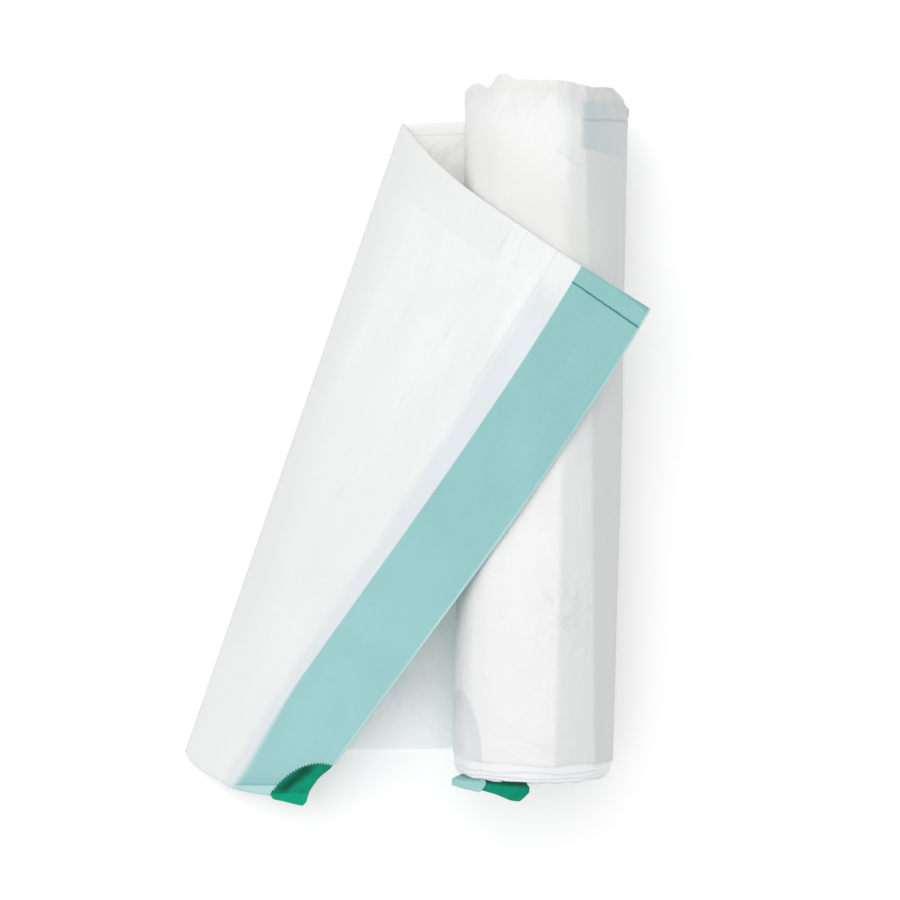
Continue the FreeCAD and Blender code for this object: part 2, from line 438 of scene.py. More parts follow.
# Groups of fine wrinkles on the outer turn, with painted shade in their valleys: middle (around, along),
# reach (around, along), slant, strength
WRINKLES = (
    (9.0, -79.0, 15.0, 21.0, 0.8, 0.6),
    (7.0, 122.0, 10.0, 9.0, 1.1, 0.5),
    (18.0, 10.0, 9.0, 40.0, 0.5, 0.3),
    (14.0, 148.0, 12.0, 9.0, 0.6, 0.45),
    (-14.0, 146.0, 14.0, 9.0, -0.5, 0.3),
    (-2.0, -134.0, 22.0, 14.0, 1.2, 0.35),
)


def film_normal(shade, wrinkle=0.3, turn=0.0):
    """Crinkled thin film: fine grain, short crumples, sharp little folds and long soft draws."""
    place = shade.place
    grain = shade.noise(place, 900.0, 2.0)
    crumple = shade.noise(shade.mapped(place, (1.0, 0.55, 1.0), 0.3 + turn), 130.0, 5.0, 0.6, 1.2)
    draws = shade.noise(shade.mapped(place, (1.0, 0.12, 1.0), turn), 160.0, 3.0, 0.5, 0.4)
    fold = shade.noise(shade.mapped(place, (1.0, 0.6, 1.0), 0.7 + turn), 60.0, 3.0, 0.5, 1.5)
    sharp = shade.step(shade.math("ABSOLUTE", shade.minus(fold, 0.5)), 0.0, 0.05)
    normal = shade.bump(grain, 0.12, 0.12)
    normal = shade.bump(crumple, wrinkle, 0.9, normal)
    normal = shade.bump(sharp, wrinkle * 0.5, 0.25, normal)
    return shade.bump(draws, wrinkle, 0.7, normal)


def film_cloud(shade, base, low=0.97, turn=0.0):
    """Film is never even: faint clouds and soft streaks along its fold lines."""
    cloud = shade.noise(shade.place, 26.0, 5.0, 0.6, 0.5)
    streak = shade.noise(shade.mapped(shade.place, (1.0, 0.05, 1.0), turn), 110.0, 2.0)
    share = shade.step(shade.plus(shade.times(cloud, 0.7), shade.times(streak, 0.3)), 0.36, 0.64)
    darker = tuple(c * low for c in base)
    return shade.mix(share, darker, base)


def past_seam(shade, x, y):
    """Distance inward from the straight line between the ends of the seam edge."""
    dx, dy = SEAM_REACH, -SEAM_DROP
    length = math.hypot(dx, dy)
    off = shade.minus(shade.times(x, dy / length), shade.times(y, dx / length))
    return shade.minus(off, (CREASE_SEAM[0] * dy - CREASE_SEAM[1] * dx) / length)


def fold_side(shade, along, inward):
    """A measure across the fold edge, near the notch. It falls towards the outside."""
    return shade.plus(shade.times(along, -0.79), shade.times(inward, 0.61))


def taped_hem(shade, colour, along, inward, off_seam):
    """The tape shows through the hem's film as a pale green band. It ends on the fold side."""
    depth = shade.step(along, 225.0, 290.0, HEM, HEM - 3.6)
    taped = shade.past(inward, depth, shade.step(along, 215.0, 275.0, 0.25, 2.2), 1.0, 0.0)
    top = film_cloud(shade, TAPED_TOP, 0.95, HEM_TURN)
    foot = film_cloud(shade, TAPED_FOOT, 0.95, HEM_TURN)
    colour = shade.mix(taped, colour, shade.mix(shade.step(along, 0.0, 260.0), top, foot))

    # Darker along the seam edge, then the weld line
    by_seam = shade.step(shade.minus(off_seam, SEAM_BOW * 0.16), 0.4, 1.3, 1.0, 0.0)
    colour = shade.tint(colour, srgb(100, 168, 164), shade.times(by_seam, taped), 0.5)
    weld = shade.band(shade.plus(along, shade.wander(300.0, 2.0, 0.7)), 9.4, 10.3, 0.25)
    colour = shade.mix(shade.times(weld, taped), colour, WELD_FILM)

    # On the fold side film alone is paler, with a painted soft shade and a painted shade line at the tape's
    # end
    side = fold_side(shade, along, inward)
    film_alone = shade.step(side, -208.3, -207.6, 1.0, 0.0)
    dusk = shade.band(side, -207.8, -204.0, 1.6)
    line = shade.band(side, -208.1, -207.1, 0.35)
    mouth_rim = shade.step(inward, 0.5, 1.3, 1.0, 0.0)
    for share, strength, tone in ((film_alone, 0.6, srgb(200, 230, 229)), (dusk, 0.3, srgb(126, 190, 190)),
                                  (line, 0.6, srgb(104, 178, 174)), (mouth_rim, 0.55, srgb(212, 238, 236))):
        colour = shade.tint(colour, tone, shade.times(share, taped), strength)
    return colour


def flap_film():
    """White film with the bluish allowance beside the hem, painted shade along the crease and in creases, and
    the hem's band.
    """
    shade = Shader("hem_film")
    along, inward = shade.uv()
    x, y = shade.plan()
    off_seam = past_seam(shade, x, y)

    # A little greyer towards the foot and in long soft draws
    colour = film_cloud(shade, WHITE_FILM, turn=HEM_TURN)
    colour = shade.mix(shade.step(along, 40.0, 200.0, 0.0, 0.25), colour, DRAWN_FILM)
    draws = shade.noise(shade.mapped(shade.place, (1.0, 0.07, 1.0), HEM_TURN + 0.1), 34.0, 3.0, 0.5, 0.3)
    colour = shade.mix(shade.step(draws, 0.42, 0.60, 0.0, 0.35), colour, DRAWN_FILM)

    # Shade along the crease and in a strip by the seam
    slant = CREASE_SLANT / WEB
    crease_at_zero = CREASE_NEAR + slant * (WEB / 2 + LEADER_SHIFT)
    from_crease = shade.minus(shade.plus(x, crease_at_zero), shade.times(y, slant))
    by_crease = shade.step(from_crease, 0.0, 22.0, 1.0, 0.0)
    colour = shade.mix(shade.times(by_crease, shade.step(along, 200.0, 265.0, 0.75, 0.2)), colour, SHADE_FILM)
    strip = shade.step(shade.plus(off_seam, shade.wander(90.0, 3.0, 3.0)), 28.0, 29.5, 1.0, 0.0)
    colour = shade.tint(colour, SHADE_FILM, shade.times(strip, shade.step(inward, 69.0, 72.0)), 0.26)

    # The hem's allowance, and a line of painted shade along the crease in it
    wander = shade.wander(34.0, 3.0, 7.0)
    edge = shade.plus(shade.minus(50.5, shade.times(along, 0.036)), wander)
    allowance = shade.step(shade.minus(inward, edge), -4.0, 1.5, 1.0, 0.0)
    allowance = shade.times(allowance, shade.step(shade.plus(along, wander), 11.0, 26.0))
    colour = shade.tint(colour, HEM_FILM, allowance, 0.75)
    crease = shade.times(shade.band(inward, 48.2, 48.6, 0.35), shade.step(along, 95.0, 60.0))
    colour = shade.tint(colour, srgb(190, 198, 204), crease, 0.35)

    # Painted shade along a broken fold line, and in fine wrinkles where it meets the seam
    fold_place = shade.plus(inward, shade.wander(30.0, 4.0, 4.0))
    fold_shade_line = shade.times(shade.band(fold_place, 71.0, 71.7, 0.5), shade.band(along, 11.0, 150.0, 8.0))
    broken = shade.step(shade.noise(shade.place, 55.0, 3.0), 0.42, 0.62, 0.04, 0.16)
    colour = shade.mix(shade.times(fold_shade_line, broken), colour, srgb(196, 200, 200))
    fine = shade.noise(shade.mapped(shade.place, (1.0, 0.16, 1.0), -0.45), 120.0, 2.0, 0.5, 0.15)
    near = shade.step(shade.oval(inward, along, 64.0, 12.0, 15.0, 12.0), 0.1, 1.0, 0.34, 0.0)
    colour = shade.mix(shade.times(shade.crest(fine, 0.06), near), colour, srgb(218, 221, 220))

    colour = taped_hem(shade, colour, along, inward, off_seam)
    return shade.finish(colour, film_normal(shade, turn=HEM_TURN))


def wrap_film():
    """The outermost turn: bright on top, with lengthwise steps in tone, partly where layers end under it and
    partly painted shade on its facets, and painted shade down its right side.
    """
    shade = Shader("wrap_film")
    angle, along = shade.uv()
    x, y = shade.plan()

    # Lengthwise steps in tone, partly layers ending under the film and partly painted shade on the facets,
    # then painted shade down the roll's right side
    colour = film_cloud(shade, srgb(244, 245, 244))
    waver = shade.wander(28.0, 3.0, 3.2)
    second = shade.plus(shade.minus(SECOND_STEP, shade.times(along, STEP_SLANT)), waver)
    layer_and_shade_a = shade.past(angle, shade.plus(FIRST_STEP, waver), shade.step(along, 40.0, 150.0, 2.6, 8.0))
    layer_and_shade_b = shade.past(angle, second, shade.step(along, -150.0, 150.0, 2.6, 1.6))
    colour = shade.tint(colour, srgb(226, 229, 229), layer_and_shade_a, 0.8)
    colour = shade.tint(colour, srgb(215, 217, 217), layer_and_shade_b, 0.85)
    colour = shade.tint(colour, srgb(194, 195, 195), shade.step(angle, 66.0, 96.0), 0.9)

    # A tape and a weld line seen through the film near the seam end
    level = shade.minus(along, shade.times(angle, 0.07))
    lower = shade.plus(along, shade.times(angle, 0.03))
    seen_tape = shade.times(shade.step(lower, 126.4, 128.2), shade.step(level, 145.0, 147.5, 1.0, 0.0))
    seen_tape = shade.times(seen_tape, shade.step(shade.minus(angle, waver), 18.0, 22.5))
    tape_tone = shade.mix(shade.step(angle, 26.0, 58.0), srgb(190, 206, 210), srgb(208, 212, 214))
    colour = shade.tint(colour, tape_tone, seen_tape, 0.75)
    line_place = shade.plus(level, shade.times(shade.noise(shade.place, 60.0), 1.6))
    weld = shade.times(shade.band(line_place, 138.2, 139.4, 0.5), shade.band(angle, 20.0, 84.0, 1.0))
    colour = shade.tint(colour, srgb(150, 168, 172), weld, 0.4)

    # Painted shade on the crumpled rim of the seam end and in its crumples
    colour = shade.tint(colour, srgb(226, 225, 220), shade.step(along, 148.5, 153.0), 0.3)
    crush = shade.noise(shade.mapped(shade.place, (1.0, 0.45, 1.0), 0.3), 120.0, 4.0, 0.6, 0.4)
    crush = shade.times(shade.step(crush, 0.40, 0.62), shade.step(along, 137.0, 150.0))
    crush = shade.times(crush, shade.step(angle, -20.0, 28.0, 0.10, 0.42))
    colour = shade.mix(crush, colour, srgb(198, 201, 202))

    # Shade beside the loose bag and down the left side
    from_flap = shade.times(shade.minus(x, CREASE_SEAM[0]), SEAM_DROP / SEAM_REACH)
    from_flap = shade.plus(shade.minus(y, CREASE_SEAM[1]), from_flap)
    near_flap = shade.times(shade.step(from_flap, -40.0, -20.0), shade.step(from_flap, 2.0, 40.0, 0.5, 0.0))
    near_flap = shade.times(near_flap, shade.step(angle, 36.0, 60.0, 1.0, 0.0))
    colour = shade.mix(near_flap, colour, srgb(227, 227, 224))
    left_side = shade.times(shade.step(angle, -68.0, -32.0, 0.3, 0.0), shade.step(along, 95.0, 130.0))
    colour = shade.mix(left_side, colour, srgb(224, 225, 224))

    # The round notch of a bag further in, seen through the film at the foot
    notch = shade.oval(angle, along, -68.0, -147.0, 30.0, 32.0)
    colour = shade.tint(colour, srgb(216, 222, 226), shade.step(notch, 0.93, 1.05, 1.0, 0.0), 0.7)
    colour = shade.tint(colour, srgb(238, 240, 242), shade.step(notch, 0.35, 0.62, 1.0, 0.0), 0.5)

    # Fine wrinkles: bumps, and painted shade in their valleys
    normal = film_normal(shade, wrinkle=0.4)
    around = shade.times(angle, 0.6)
    for middle_a, middle_y, reach_a, reach_y, slant, strength in WRINKLES:
        away = shade.oval(around, along, middle_a, middle_y, reach_a, reach_y)
        near = shade.step(away, 0.15, 1.0, strength, 0.0)
        fine = shade.noise(shade.mapped(shade.place, (1.0, 0.25, 1.0), slant), 130.0, 2.0, 0.5, 0.5)
        normal = shade.bump(shade.crest(fine, 0.15), near, 0.8, normal)
        valley = shade.times(shade.step(fine, 0.36, 0.52, 1.0, 0.0), shade.times(near, 0.24))
        colour = shade.mix(valley, colour, srgb(204, 207, 208))
    return shade.finish(colour, normal)


def leader_film():
    """The run on the floor: a weld line and painted shade in crumples by the seam, cooler towards the fold,
    painted light towards the foot and a painted shadow beside the roll. It glows a little, for the light that
    comes through the thin film.
    """
    shade = Shader("leader_film", 0.45, coat=0.1, coat_roughness=0.4)
    shade.surface.inputs["Emission Color"].default_value = (*srgb(242, 242, 240), 1)
    shade.surface.inputs["Emission Strength"].default_value = 0.13
    x, y = shade.plan()
    white = film_cloud(shade, srgb(243, 242, 238), 0.94)
    cool = film_cloud(shade, srgb(238, 242, 244), 0.94)
    colour = shade.mix(shade.step(y, -20.0, 90.0, 1.0, 0.0), white, cool)
    # Lighter towards the foot: painted light
    colour = shade.mix(shade.step(y, -146.0, -112.0, 0.55, 0.0), colour, srgb(252, 253, 253))
    level = shade.minus(y, shade.times(x, 0.045))
    # Painted shade in the crumples by the seam
    crumple_shade = shade.noise(shade.mapped(shade.place, (1.0, 0.3, 1.0), -0.8), 95.0, 3.0, 0.5, 0.6)
    crumple_shade = shade.times(shade.crest(crumple_shade, 0.09), shade.band(level, 112.0, 145.0, 6.0))
    colour = shade.tint(colour, srgb(215, 216, 210), crumple_shade, 0.35)
    colour = shade.tint(colour, srgb(205, 206, 200), shade.band(level, 144.9, 145.7, 0.4), 0.4)
    # Painted shadow beside the roll
    roll_shadow = shade.times(shade.step(x, -56.0, -34.0), shade.step(y, 30.0, -10.0))
    colour = shade.tint(colour, srgb(188, 214, 207), roll_shadow, 0.45)
    return shade.finish(colour, film_normal(shade, wrinkle=0.8))


def turn_film():
    """The turns inside the outermost one: a thin line of painted shade along the edge of each layer."""
    shade = Shader("turn_film")
    _, from_edge = shade.uv()
    colour = film_cloud(shade, srgb(247, 249, 250))
    colour = shade.mix(shade.step(from_edge, 0.15, 0.6, 0.75, 0.0), colour, srgb(226, 230, 232))
    return shade.finish(colour, film_normal(shade, wrinkle=0.5))


def hem_edge_film():
    """The next bag's hem over its tape, as it looks out at the foot."""
    shade = Shader("hem_edge_film")
    return shade.finish(film_cloud(shade, srgb(158, 212, 209), 0.93), film_normal(shade, wrinkle=0.5))


def clouded_tape(name, base, dark):
    """A shader for tape, and its clouded green."""
    shade = Shader(name, 0.5, coat=0.0, specular=0.12)
    cloud = shade.noise(shade.mapped(shade.place, (1.0, 0.4, 1.0), -0.9), 140.0, 4.0, 0.6)
    return shade, shade.mix(shade.step(cloud, 0.35, 0.62), dark, base)


def hem_tape_film():
    """The tape in the hem. Where it lies bare it has painted shade along its fold and a painted highlight on
    a strip on the fold side.
    """
    shade, colour = clouded_tape("tape_film", srgb(0, 150, 118), srgb(0, 130, 100))
    along, inward = shade.uv()
    wander = shade.wander(220.0, 3.0, 3.0)
    # Painted shade along the bare tape's fold
    course = shade.plus(9.8, shade.times(shade.minus(along, 262.0), 0.26))
    off = shade.plus(shade.minus(inward, course), wander)
    fold = shade.times(shade.band(off, -2.2, 2.2, 2.0), shade.band(along, 259.0, 277.0, 3.0))
    colour = shade.tint(colour, srgb(0, 74, 52), fold, 0.9)
    # A painted highlight on a strip on the fold side
    side = shade.plus(fold_side(shade, along, inward), shade.times(wander, 0.3))
    colour = shade.tint(colour, srgb(0, 166, 128), shade.step(side, -212.6, -211.4, 1.0, 0.0), 0.9)
    return shade.finish(colour, film_normal(shade, wrinkle=0.5))


def next_tape_film():
    """The next bag's tape, with painted shade where it goes into the roll."""
    shade, colour = clouded_tape("next_tape_film", srgb(0, 150, 120), srgb(0, 136, 106))
    _, along = shade.uv()
    colour = shade.mix(shade.step(along, -156.8, -154.6), colour, srgb(0, 84, 62))
    return shade.finish(colour, film_normal(shade, wrinkle=0.5))


flap_material = flap_film()
wrap_material = wrap_film()
turn_material = turn_film()
leader_material = leader_film()
hem_edge_material = hem_edge_film()
tape_material = hem_tape_film()
next_tape_material = next_tape_film()

# The wound turns

# The outer turn's two edges as they look: degrees from the top, and y
TOP_EDGE = ((-180, 150), (-120, 152), (-95, 154.5), (-80, 156.4), (-70, 157.2), (-58, 157.8), (-52, 156.5),
            (-48, 154.9), (-42, 154.8), (-39.5, 157.3), (-36, 159.6), (-28, 159.9), (-24.5, 158), (-22, 157),
            (0, 156.5), (9, 156.2), (18, 155.1), (27.7, 154.3), (38, 155.4), (48.8, 156), (58, 154.6),
            (66.6, 151.8), (75, 149.2), (110, 149), (180, 150))
FOOT_EDGE = ((-180, -150), (-100, -146), (-85, -145.2), (-55, -145.6), (-20, -145.1), (0, -145.9),
             (10, -146.1), (25, -145.2), (40, -145.3), (60, -146.4), (95, -148), (180, -150))


# Crushed places on the outer turn: angle and y, reach in both, height
CRUSHED = ((28, -82, 20, 28, 0.55), (12, 118, 12, 12, 0.4), (-2, -120, 14, 14, 0.3), (20, 20, 16, 30, 0.25),
           (30, -30, 18, 24, 0.3))


def drift(turn):
    """How far a turn has slid along the roll."""
    return np.interp(turn, (1.0, 1.5, 2.5, 3.5, 4.5, TURNS), (1.4, 0.4, -1.9, -3.4, -4.0, -4.6))


def turn_radius(turn):
    """Radius of a turn's middle. The turns lie close on the outside and looser inside."""
    return ROLL_HEIGHT / 2 - TURN_FILM / 2 - np.interp(turn, *zip(*TURN_DEPTH))


def turn_angle(turn):
    """Angle from the top of the roll in degrees, positive on the right, for a run in turns."""
    return 180.0 - 360.0 * (turn % 1.0)


def facet(angle, y):
    """How much the outer turn is drawn flat between its lengthwise creases, as a share of the radius."""
    out = np.ones_like(angle)
    left, first, right = (np.full_like(y, place) for place in (LEFT_CREASE, FIRST_STEP, RIGHT_CREASE))
    second = SECOND_STEP - STEP_SLANT * y
    for low, high in ((left, first), (first, second), (second, right)):
        inside = (angle >= low) & (angle < high)
        middle = np.radians((low + high) / 2)
        chord = np.cos(np.radians((high - low) / 2)) / np.cos(np.radians(angle) - middle)
        out = np.where(inside, 1 + FLATTENING * (chord - 1), out)
    return out


def roll_place(turn, radius):
    """x and z on the spiral, which is a circle drawn apart by the flat run."""
    phi = 2 * np.pi * turn
    side = np.tanh(4 * np.sin(phi)) * FLAT_RUN / 2
    return radius * np.sin(phi) + side, ROLL_HEIGHT / 2 - radius * np.cos(phi)


def lean(x, y):
    """The roll narrows and leans a little to the left towards its foot."""
    return x - smooth(20.0, -150.0, y) * (0.6 + 1.0 * np.clip(x / 37.0, 0, 1))


def outer_turn():
    """The outermost turn, with its flat facets, crushed places and crumpled ends."""
    around, along = 190, 165
    turn = np.linspace(0.0, 1.03, around)
    share = np.linspace(0.0, 1.0, along)
    turn_grid, share_grid = np.meshgrid(turn, share)
    angle = turn_angle(turn_grid.ravel())
    top = np.interp(angle, *zip(*TOP_EDGE))
    foot = np.interp(angle, *zip(*FOOT_EDGE))
    share_flat = share_grid.ravel()
    y = foot + (top - foot) * share_flat
    t = turn_grid.ravel()
    radius = turn_radius(t) * facet(angle, y)
    soft = lump(angle, y, 24.0, 60.0, 3.1)
    across = lump(angle, y, 14.0, 9.0, 7.7)
    crush = np.zeros_like(y)
    for middle_a, middle_y, reach_a, reach_y, high in CRUSHED:
        crush += high * np.exp(-((angle - middle_a) / reach_a) ** 2 - ((y - middle_y) / reach_y) ** 2)
    ridges = ridged(angle, y, 9.0, 12.0, 1.3) - 0.4
    near_top = smooth(top - 14, top, y)
    near_foot = smooth(foot + 10, foot, y)
    crinkle = lump(angle, y, 6.0, 7.0, 11.0)
    lift = 0.26 * soft + 0.13 * across + crush * ridges
    lift += near_top * (0.8 * crinkle + 0.3) + near_foot * 0.3 * crinkle
    lift = np.maximum(lift, -0.12) * smooth(0.02, 0.10, t) * smooth(1.03, 0.98, t)
    x, z = roll_place(t, radius + lift)
    z = np.maximum(z, TURN_FILM / 2)
    verts = np.column_stack([lean(x, y), y, z])
    return mesh_object("roll_outer_turn", verts, grid_faces(along, around), wrap_material,
                       uvs=np.column_stack([angle, y]), thickness=TURN_FILM)


def inner_turns():
    """All the other turns as one spiral, whose edges show at the roll's ends."""
    per_turn, along = 72, 10
    count = (TURNS - 1) * per_turn + 1
    turn = np.linspace(1.0, TURNS, count)
    share = np.linspace(0.0, 1.0, along)
    share = np.sort(np.concatenate([share, [0.004, 0.012, 0.025, 0.975, 0.996]]))
    turn_grid, share_grid = np.meshgrid(turn, share)
    t, s = turn_grid.ravel(), share_grid.ravel()
    y = drift(t) - WEB / 2 + WEB * s
    angle = turn_angle(t)
    deep = np.clip(1 - (t - 1) / 8, 0, 1)
    radius = turn_radius(t) * (1 + deep * (facet(angle, y) - 1)) - 0.1 * deep * smooth(1.0, 1.1, t)
    wave = lump(angle, y + 40 * np.floor(t), 40.0, 60.0, 5.5)
    rim = smooth(0.03, 0.0, s) + smooth(0.97, 1.0, s)
    frill = lump(t * 24.0, np.sign(s - 0.5), 1.5, 1.0, 6.6)
    y = y + rim * 0.9 * frill
    x, z = roll_place(t, radius + (0.05 * wave + 0.12 * rim * frill) * smooth(1.0, 1.1, t))
    from_edge = np.minimum(s, 1 - s) * WEB
    verts = np.column_stack([lean(x, y), y, z])
    return mesh_object("roll_inner_turns", verts, grid_faces(len(share), count), turn_material,
                       uvs=np.column_stack([angle, from_edge]), thickness=TURN_FILM)


# The loose bag

PLAIN_FILM_UV = (0.0, 200.0)        # along the hem and inward from it, where the flap's film has no marks


def flap_lift(x, y):
    """Small unevenness of the flap: long draws along the hem, a dent and soft waves."""
    along, inward = hem_coordinates(x, y)
    soft = lump(along, inward, 60.0, 22.0, 2.4)
    draws = lump(along, inward, 90.0, 6.0, 4.2)
    fine = lump(x, y, 7.0, 9.0, 8.8)
    film_side = smooth(HEM - 1, HEM + 5, inward)
    lift = 0.4 * soft + 0.3 * draws * film_side + 0.05 * fine
    line = smooth(5, 20, along) * smooth(190, 120, along)
    swerve = 1.4 * lump(along, 0 * along, 22.0, 1.0, 1.7)
    lift += 0.22 * line * np.exp(-((inward - 71.5 - swerve) / 2.4) ** 2)
    lift -= 0.30 * smooth(95, 60, along) * np.exp(-((inward - 48.4) / 1.1) ** 2)
    lift += 0.45 * np.exp(-((inward - 71.5) / 3.5) ** 2 - ((along - 145) / 3.0) ** 2)
    near_seam = smooth(38, 22, seam_distance(x, y))
    lift += 0.16 * near_seam * lump(along, inward, 5.0, 14.0, 5.9)
    by_seam_fold = np.exp(-((inward - 66) / 9) ** 2 - ((along - 16) / 9) ** 2)
    return lift + 0.5 * (ridged(x, y, 12.0, 12.0, 3.7) - 0.3) * by_seam_fold


def belly(from_crease):
    """The film springs up a little beside the crease."""
    return 1.8 * (1 - np.exp(-from_crease / 5.0)) * np.exp(-from_crease / 32.0)


def flap():
    """The loose bag from the crease over the roll to the mouth."""
    flat, faces = fill_plan(flap_outline(), 1.7, HEM_LEAN)
    x, y = flat[:, 0], flat[:, 1]
    from_crease = np.maximum(x - crease_x(y), 0)
    settle = smooth(0.0, 12.0, from_crease)
    z = drape_height(x, y, FLAP_RISE) + belly(from_crease) + settle * flap_lift(x, y)
    along, inward = hem_coordinates(x, y)
    return mesh_object("loose_flap", np.column_stack([x, y, z]), faces, flap_material,
                       uvs=np.column_stack([along, inward]), thickness=FLAP_THICK)


def leader():
    """The web's run on the floor, from the crease to where the roll stands on it."""
    nip = FLAT_RUN / 2
    corners = (CREASE_SEAM, (nip, LEADER_TOP), (nip, LEADER_FOOT), (crease_x(FLAP_FOOT_END), FLAP_FOOT_END))
    outline = []
    for start, end, pieces in zip(corners, corners[1:] + corners[:1], (30, 90, 60, 90)):
        outline += bowed_edge(start, end, 0, pieces)
    flat, faces = fill_plan(outline, 3.0, 0.0)
    x, y = flat[:, 0], flat[:, 1]
    free = smooth(-20, -40, x) * smooth(0, 8, x - crease_x(y))
    z = 0.45 + free * (0.45 + 0.45 * lump(x, y, 30.0, 22.0, 6.1))
    return mesh_object("leader", np.column_stack([x, y, z]), faces, leader_material, uvs=flat,
                       thickness=FLAP_THICK)


def crease_roll():
    """The rounded turn of the film along the crease."""
    rings, sides = 120, 14
    start, end = Vector((crease_x(FLAP_FOOT_END), FLAP_FOOT_END, 0)), Vector((*CREASE_SEAM, 0))
    run = (end - start).normalized()
    out = Vector((-run.y, run.x, 0))
    verts = []
    for r in range(rings):
        centre = start.lerp(end, r / (rings - 1))
        leaves = math.cos(float(drape_slope(centre.y)))
        flap_height = BEAD + FLAP_RISE / leaves
        radius = (flap_height * leaves + FLAP_THICK / 2) / (1 + leaves)
        for s in range(sides):
            turn = 2 * math.pi * s / sides
            up = Vector((0, 0, radius * (1 + math.sin(turn))))
            verts.append(centre + out * (radius * math.cos(turn)) + up)
    faces = []
    for r in range(rings - 1):
        this, following = r * sides, (r + 1) * sides
        for s in range(sides):
            beside = (s + 1) % sides
            faces.append((this + s, this + beside, following + beside, following + s))
    faces.append(tuple(range(sides - 1, -1, -1)))
    faces.append(tuple((rings - 1) * sides + s for s in range(sides)))
    uvs = np.tile(PLAIN_FILM_UV, (len(verts), 1))
    return mesh_object("crease_roll", verts, faces, flap_material, uvs=uvs)


def hem_tape():
    """The draw tape inside the hem, bare where the notch is."""

    def at(along, inward):
        inward -= MOUTH_BOW * bow_share(min(max(along / MOUTH_LENGTH, 0), 1), 1.0)
        return (MOUTH_SEAM[0] + MOUTH_UX * along + MOUTH_UY * inward,
                MOUTH_SEAM[1] + MOUTH_UY * along - MOUTH_UX * inward)

    def in_hem(points):
        return [p for p in points if TAPE_ROOM < hem_coordinates(*p)[1] < HEM - TAPE_ROOM]

    def curl(along):
        """The bare tape's edge is drawn in a little, as a shallow hollow."""
        return 1.9 * float(smooth(253.0, 262.0, along) * smooth(275.5, 268.0, along))

    fold_edge = [p for p in bowed_edge(MOUTH_FOLD, CREASE_FOLD, -FOLD_BOW, 40) if p[0] > FLAP_FOOT[-1][0]]
    fold_edge = in_hem(fold_edge + flap_foot(TAPE_ROOM))
    seam_end = in_hem([(x + MOUTH_UX * 1.2, y + MOUTH_UY * 1.2)
                       for x, y in bowed_edge(CREASE_SEAM, MOUTH_SEAM, SEAM_BOW, 60, 0.5)])
    high, low, last = (hem_coordinates(*p)[0] for p in (seam_end[0], seam_end[-1], fold_edge[-1]))
    mouth_edge = [at(a, TAPE_ROOM + curl(a)) for a in np.linspace(low + 0.6, MOUTH_LENGTH - 1.5, 110)]
    inner_edge = [at(a, HEM - TAPE_ROOM) for a in np.linspace(last - 1, high + 0.6, 70)]
    flat, faces = fill_plan(seam_end + mouth_edge + fold_edge + inner_edge, 2.4, HEM_LEAN)
    x, y = flat[:, 0], flat[:, 1]
    from_crease = np.maximum(x - crease_x(y), 0)
    z = drape_height(x, y, FLAP_RISE) + belly(from_crease) + flap_lift(x, y)
    along, inward = hem_coordinates(x, y)
    bare = smooth(MOUTH_LENGTH - 22, MOUTH_LENGTH - 15, along) * smooth(17, 12, inward)
    valley = np.exp(-((inward - 9.5) / 4.0) ** 2) * smooth(MOUTH_LENGTH - 24, MOUTH_LENGTH - 12, along)
    z += bare * (0.25 * lump(x, y, 9.0, 7.0, 9.4) + 0.5) - 1.6 * valley
    return mesh_object("hem_tape", np.column_stack([x, y, z]), faces, tape_material,
                       uvs=np.column_stack([along, inward]), thickness=0.25)


# Where the next bag's tape comes out of the roll: its left edge in x and z, and its run to the right edge
OUT_X, OUT_Z = -37.2, 48.5
OUT_RUN_X, OUT_RUN_Z = 33.4, 18.3
OUT_HALF_ARC = 19.0
HIDDEN_END = -105.0


def next_bag_strip(name, width_shares, foot_line, out, material, thickness):
    """A strip that leaves the roll's foot under its inner turns and springs straight as it comes out.

    width_shares runs across the tape from its left edge, and foot_line gives where the strip ends.
    out lifts the strip by about as many millimetres.
    """
    around, along = 34, 46
    inset = 0.4
    radius = LEFT_RADIUS - FILM - AIR - FILM - inset + out * 0.6
    half = math.degrees(OUT_HALF_ARC / radius)
    across = np.linspace(*width_shares, around)
    run = np.linspace(0, 1, along) ** 1.6
    across_grid, run_grid = np.meshgrid(across, run)
    u, s = across_grid.ravel(), run_grid.ravel()
    angle = np.radians(-NEXT_TAPE_MIDDLE + (2 * u - 1) * half)
    foot = np.interp(u, *zip(*foot_line))
    y = foot + s * (HIDDEN_END - foot)
    free = smooth(-154.0, -155.6, y)
    bulge = 1.5 * np.sin(np.pi * u)
    straight_x = OUT_X + OUT_RUN_X * u - 0.35 * bulge - (out - 0.2) * 0.45
    straight_z = OUT_Z + OUT_RUN_Z * u + bulge + (out - 0.2) * 0.9
    curved_x = lean(radius * np.sin(angle) - FLAT_RUN / 2, y)
    curved_z = LEFT_CENTRE + radius * np.cos(angle)
    ruffle = 0.45 * lump(u * TAPE_WIDTH, y, 6.0, 4.5, 2.2) * free
    x = curved_x + free * (straight_x - curved_x) - 0.45 * ruffle
    z = curved_z + free * (straight_z - curved_z) + 0.9 * ruffle
    return mesh_object(name, np.column_stack([x, y, z]), grid_faces(along, around), material,
                       uvs=np.column_stack([u * TAPE_WIDTH, y]), thickness=thickness)


def next_bag_tape():
    """The next bag's tape, whose torn end looks out past the roll's foot."""
    foot = ((0, -157.9), (0.35, -159.3), (0.40, -159.0), (0.56, -159.9), (0.72, -161.6), (0.78, -162.2),
            (0.88, -162.2), (0.92, -161.0), (1.0, -157.8))
    return next_bag_strip("next_bag_tape", (0.0, 1.0), foot, 0.0, next_tape_material, 0.3)


